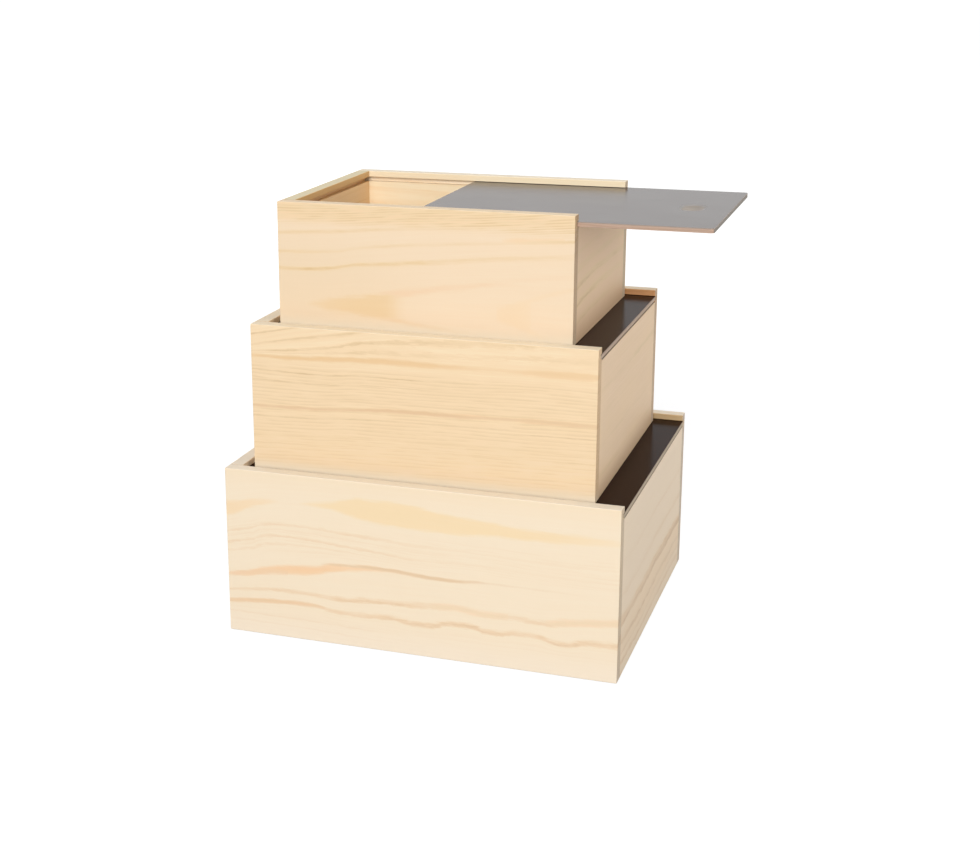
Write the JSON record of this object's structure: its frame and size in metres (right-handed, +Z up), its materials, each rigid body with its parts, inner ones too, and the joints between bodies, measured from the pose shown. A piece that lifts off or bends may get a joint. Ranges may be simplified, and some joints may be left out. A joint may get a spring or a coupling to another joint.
{
  "type": "stacking wooden box set",
  "caption": "Graduated pine boxes with dark lids that slide in grooves under the rim. The boxes stand on one another's lids and nest inside each other.",
  "frame": {"origin": "centre of the large box's underside", "axes": "+Z up. The lids slide out towards +X, along the boxes' length. -Y is the front."},
  "size_m": [0.417, 0.3, 0.39],
  "materials": {
    "pine": "sanded, untreated pale pine",
    "plywood": "sanded plywood",
    "beech": "plain turned dowel",
    "lid_board": "sanded thin board",
    "lid_sheet": "dark satin laminate"
  },
  "bodies": {
    "large_box": {"large_front_wall": "pine", "large_back_wall": "pine", "large_closed_end_wall": "pine", "large_open_end_wall": "pine", "large_bottom_panel": "plywood", "large_corner_dowels": "beech"},
    "medium_box": {"medium_front_wall": "pine", "medium_back_wall": "pine", "medium_closed_end_wall": "pine", "medium_open_end_wall": "pine", "medium_bottom_panel": "plywood", "medium_corner_dowels": "beech"},
    "small_box": {"small_front_wall": "pine", "small_back_wall": "pine", "small_closed_end_wall": "pine", "small_open_end_wall": "pine", "small_bottom_panel": "plywood", "small_corner_dowels": "beech"},
    "large_lid": {"large_lid_board": "lid_board", "large_lid_top_sheet": "lid_sheet"},
    "medium_lid": {"medium_lid_board": "lid_board", "medium_lid_top_sheet": "lid_sheet"},
    "small_lid": {"small_lid_board": "lid_board", "small_lid_top_sheet": "lid_sheet"}
  },
  "joints": [
    {"name": "large_lid_slide", "type": "slide", "parent": "large_box", "child": "large_lid", "axis": [1, 0, 0], "range_m": [0, 0.3525]},
    {"name": "medium_lid_slide", "type": "slide", "parent": "medium_box", "child": "medium_lid", "axis": [1, 0, 0], "range_m": [0, 0.3065]},
    {"name": "small_lid_slide", "type": "slide", "parent": "small_box", "child": "small_lid", "axis": [1, 0, 0], "range_m": [-0.113, 0.1475]},
    {"name": "medium_box_lift", "type": "slide", "parent": "large_box", "child": "medium_box", "axis": [0, 0, 1], "range_m": [0, 0.1]},
    {"name": "small_box_lift", "type": "slide", "parent": "medium_box", "child": "small_box", "axis": [0, 0, 1], "range_m": [0, 0.1]}
  ]
}
